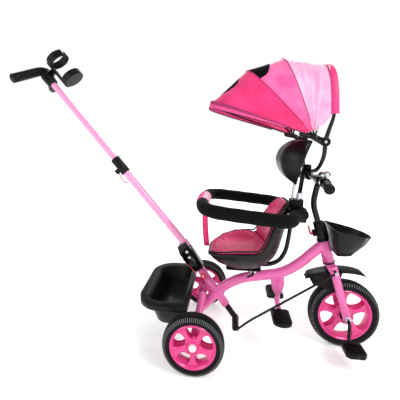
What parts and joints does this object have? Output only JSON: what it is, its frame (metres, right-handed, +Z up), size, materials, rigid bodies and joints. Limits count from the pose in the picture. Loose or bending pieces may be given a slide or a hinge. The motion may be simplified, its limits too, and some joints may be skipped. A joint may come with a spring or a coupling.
{
  "type": "push tricycle",
  "caption": "Children's push tricycle: bent tube frame, steering push handle, rear-facing swivel seat with guard ring and headrest, folding canopy, footrest and baskets.",
  "frame": {"origin": "middle of the bounding box, on the floor", "axes": "+X forward along the line of travel, +Y to the rider's left, +Z up"},
  "size_m": [1.3614, 0.4858, 1.1212],
  "materials": {
    "pink_frame_paint": "gloss powder coat",
    "pink_rim_plastic": "gloss moulded",
    "pale_cap_plastic": "gloss moulded",
    "black_steel_paint": "satin powder coat",
    "black_plastic": "fine moulded grain",
    "foam_tyre": "EVA foam, ribbed shoulder",
    "bright_steel": "bright zinc",
    "red_plastic": "gloss moulded",
    "black_leatherette": "soft grain",
    "pink_leatherette": "soft grain, quilted",
    "black_fabric": "woven over foam",
    "pink_fabric": "plain woven polyester"
  },
  "bodies": {
    "frame": {"welded_frame": "pink_frame_paint", "headset_lower": "black_steel_paint", "headset_upper": "black_steel_paint", "rear_axle": "bright_steel", "rear_basket": "black_plastic"},
    "steering": {"fork": "pink_frame_paint", "mudguard": "black_plastic", "steering_collar": "black_plastic", "stem": "black_steel_paint", "handlebar": "black_steel_paint", "grip_left": "black_plastic", "grip_right": "black_plastic", "bell": "bright_steel", "front_basket": "black_plastic", "basket_clip": "bright_steel"},
    "front_wheel": {"front_tyre": "foam_tyre", "front_rim": "pink_rim_plastic", "front_hub": "black_plastic", "crank_axle": "black_steel_paint"},
    "pedal_left": {"pedal_left": "black_plastic"},
    "pedal_right": {"pedal_right": "black_plastic"},
    "rear_wheel_left": {"rear_tyre_left": "foam_tyre", "rear_rim_left": "pink_rim_plastic", "rear_hub_cap_left": "pale_cap_plastic"},
    "rear_wheel_right": {"rear_tyre_right": "foam_tyre", "rear_rim_right": "pink_rim_plastic", "rear_hub_cap_right": "pale_cap_plastic"},
    "collar_lever": {"collar_lever": "red_plastic"},
    "bell_lever": {"bell_lever": "black_plastic"},
    "footrest": {"footrest_arm": "pink_frame_paint", "footrest_pad_left": "black_plastic", "footrest_pad_right": "black_plastic"},
    "push_handle": {"handle_shaft": "black_steel_paint", "handle_connector": "black_steel_paint", "handle_lower_tube": "pink_frame_paint", "telescopic_clamp": "black_plastic"},
    "clamp_lever": {"clamp_lever": "red_plastic"},
    "connector_lever": {"connector_lever": "red_plastic"},
    "handle_top": {"handle_upper_tube": "pink_frame_paint", "push_grip": "black_plastic", "bottle_holder": "black_plastic"},
    "link_rod": {"link_rod": "black_steel_paint"},
    "seat": {"seat_bracket": "black_steel_paint", "seat_shell": "black_leatherette", "seat_pad": "pink_leatherette", "back_pad": "pink_leatherette", "seat_back_tube": "black_steel_paint", "post_clamp": "black_plastic", "canopy_sleeve": "bright_steel", "headrest_bar": "bright_steel", "headrest": "black_leatherette", "crotch_strap": "pink_fabric"},
    "guard_left": {"guard_ring_left": "black_fabric"},
    "guard_right": {"guard_ring_right": "black_fabric"},
    "canopy_mast": {"canopy_yoke": "black_steel_paint", "rear_bow": "black_steel_paint", "canopy_fabric": "pink_fabric"},
    "rib_3": {"rib_3": "black_steel_paint"},
    "rib_2": {"rib_2": "black_steel_paint"},
    "front_bow": {"front_bow": "black_steel_paint"}
  },
  "joints": [
    {"name": "steering", "type": "hinge", "parent": "frame", "child": "steering", "pos_m": [0.55373, 0, 0.127], "axis": [-0.2874, 0, 0.9578], "range_deg": [-24, 24]},
    {"name": "front_wheel_spin", "type": "hinge", "parent": "steering", "child": "front_wheel", "pos_m": [0.55373, 0, 0.127], "axis": [0, 1, 0], "continuous": true},
    {"name": "pedal_left_spin", "type": "hinge", "parent": "front_wheel", "child": "pedal_left", "pos_m": [0.5608, 0.132, 0.18457], "axis": [0, 1, 0], "continuous": true},
    {"name": "pedal_right_spin", "type": "hinge", "parent": "front_wheel", "child": "pedal_right", "pos_m": [0.54666, -0.132, 0.06943], "axis": [0, 1, 0], "continuous": true},
    {"name": "rear_wheel_left_spin", "type": "hinge", "parent": "frame", "child": "rear_wheel_left", "pos_m": [0.00973, 0.212, 0.1036], "axis": [0, 1, 0], "continuous": true},
    {"name": "rear_wheel_right_spin", "type": "hinge", "parent": "frame", "child": "rear_wheel_right", "pos_m": [0.00973, -0.212, 0.1036], "axis": [0, 1, 0], "continuous": true},
    {"name": "collar_lever_open", "type": "hinge", "parent": "steering", "child": "collar_lever", "pos_m": [0.42834, 0, 0.42661], "axis": [0, -1, 0], "range_deg": [0, 80]},
    {"name": "bell_lever_press", "type": "hinge", "parent": "steering", "child": "bell_lever", "pos_m": [0.44274, -0.067, 0.64805], "axis": [0, 0, -1], "range_deg": [0, 30], "stiffness_Nm_per_rad": 0.02},
    {"name": "footrest_fold", "type": "hinge", "parent": "frame", "child": "footrest", "pos_m": [0.31173, 0, 0.206], "axis": [0, -1, 0], "range_deg": [0, 65]},
    {"name": "push_handle_turn", "type": "hinge", "parent": "frame", "child": "push_handle", "pos_m": [0.00973, 0, 0.267], "axis": [-0.5934, 0, 0.8049], "range_deg": [-24, 24]},
    {"name": "handle_telescope", "type": "slide", "parent": "push_handle", "child": "handle_top", "axis": [-0.6494, 0, 0.7604], "range_m": [-0.22, 0.07]},
    {"name": "clamp_lever_open", "type": "hinge", "parent": "push_handle", "child": "clamp_lever", "pos_m": [-0.32516, 0, 0.64312], "axis": [0, 1, 0], "range_deg": [0, 100]},
    {"name": "connector_lever_open", "type": "hinge", "parent": "push_handle", "child": "connector_lever", "pos_m": [-0.05401, 0, 0.29952], "axis": [0, 1, 0], "range_deg": [0, 75]},
    {"name": "link_rod_swing", "type": "hinge", "parent": "push_handle", "child": "link_rod", "pos_m": [0.15096, -0.066, 0.07544], "axis": [-0.5934, 0, 0.8049], "range_deg": [-24, 24]},
    {"name": "seat_swivel", "type": "hinge", "parent": "frame", "child": "seat", "pos_m": [0.21573, 0, 0.28], "axis": [0, 0, 1], "range_deg": [-90, 90]},
    {"name": "guard_left_open", "type": "hinge", "parent": "seat", "child": "guard_left", "pos_m": [0.40773, 0.02, 0.5014], "axis": [-0.1015, 0, -0.9948], "range_deg": [0, 70]},
    {"name": "guard_right_open", "type": "hinge", "parent": "seat", "child": "guard_right", "pos_m": [0.40773, -0.02, 0.5014], "axis": [0.1015, 0, 0.9948], "range_deg": [0, 70]},
    {"name": "canopy_height", "type": "slide", "parent": "seat", "child": "canopy_mast", "axis": [0.1414, 0, 0.9899], "range_m": [0, 0.025]},
    {"name": "canopy_fold", "type": "hinge", "parent": "canopy_mast", "child": "rib_3", "pos_m": [0.38273, 0, 0.792], "axis": [0, 1, 0], "range_deg": [0, 19.5], "deforming": ["canopy_fabric"]},
    {"name": "rib_2_fold", "type": "hinge", "parent": "rib_3", "child": "rib_2", "pos_m": [0.38273, 0, 0.792], "axis": [0, 1, 0], "range_deg": [0, 15.8]},
    {"name": "front_bow_fold", "type": "hinge", "parent": "rib_2", "child": "front_bow", "pos_m": [0.38273, 0, 0.792], "axis": [0, 1, 0], "range_deg": [0, 18.5]}
  ],
  "couplings": [
    {"joint": "push_handle_turn", "follows": "steering", "ratio": 1},
    {"joint": "link_rod_swing", "follows": "steering", "ratio": -1},
    {"joint": "rib_2_fold", "follows": "canopy_fold", "ratio": 0.81},
    {"joint": "front_bow_fold", "follows": "canopy_fold", "ratio": 0.948}
  ]
}
